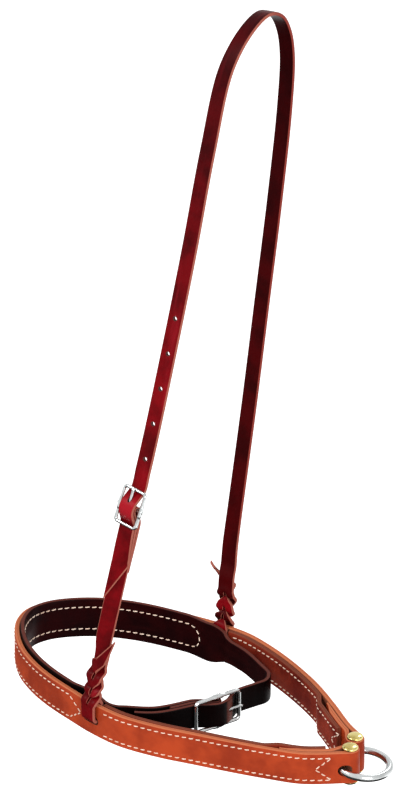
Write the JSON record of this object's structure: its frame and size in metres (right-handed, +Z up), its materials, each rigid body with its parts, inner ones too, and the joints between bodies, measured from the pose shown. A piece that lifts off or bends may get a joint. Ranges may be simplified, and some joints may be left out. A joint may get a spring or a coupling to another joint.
{
  "type": "bridle noseband",
  "caption": "Lined leather tie-down noseband with a rear ring on two posts, a buckled jaw strap and a buckled crown strap tied to the band with bleed knots.",
  "frame": {"origin": "underside of the crown strap at its highest point, where the headstall hangs", "axes": "+X from the nose to the tie-down ring, +Y from the cheek buckle's side to the plain side, +Z up"},
  "size_m": [0.3284, 0.1745, 0.5531],
  "materials": {
    "crown_leather": "burgundy bridle leather, waxed, tan edges",
    "band_leather": "russet harness leather with laminated tan edges",
    "lining_leather": "brown lining leather",
    "jaw_leather": "dark burgundy leather",
    "nickel": "nickel plate, polished",
    "brass": "pale brass, polished"
  },
  "bodies": {
    "headstall": {"crown_strap": "crown_leather", "cheek_piece": "crown_leather", "cheek_buckle_frame": "nickel", "cheek_buckle_pin": "nickel"},
    "noseband": {"outer_band": "band_leather", "near_leg_lining": "lining_leather", "far_leg_lining": "lining_leather", "jaw_strap": "jaw_leather", "jaw_buckle_frame": "nickel", "jaw_buckle_pin": "nickel", "near_post": "brass", "far_post": "brass", "near_screw": "brass", "far_screw": "brass"},
    "ring": {"tie_down_ring": "nickel"},
    "cheek_tongue": {"cheek_buckle_tongue": "nickel"},
    "jaw_tongue": {"jaw_buckle_tongue": "nickel"}
  },
  "joints": [
    {"name": "noseband_rock", "type": "hinge", "parent": "headstall", "child": "noseband", "pos_m": [-0.05, -0.06, -0.5302], "axis": [0, 1, 0], "range_deg": [-4, 4]},
    {"name": "ring_swing", "type": "hinge", "parent": "noseband", "child": "ring", "pos_m": [0.12044, -0.06276, -0.5352], "axis": [-0.4226, 0.9063, 0], "range_deg": [-13, 3]},
    {"name": "cheek_tongue_lift", "type": "hinge", "parent": "headstall", "child": "cheek_tongue", "pos_m": [-0.03524, -0.10586, -0.36532], "axis": [0.9957, -0.022, -0.09], "range_deg": [0, 6]},
    {"name": "jaw_tongue_lift", "type": "hinge", "parent": "noseband", "child": "jaw_tongue", "pos_m": [0.01421, -0.06823, -0.5333], "axis": [0, 0, -1], "range_deg": [0, 6]}
  ]
}
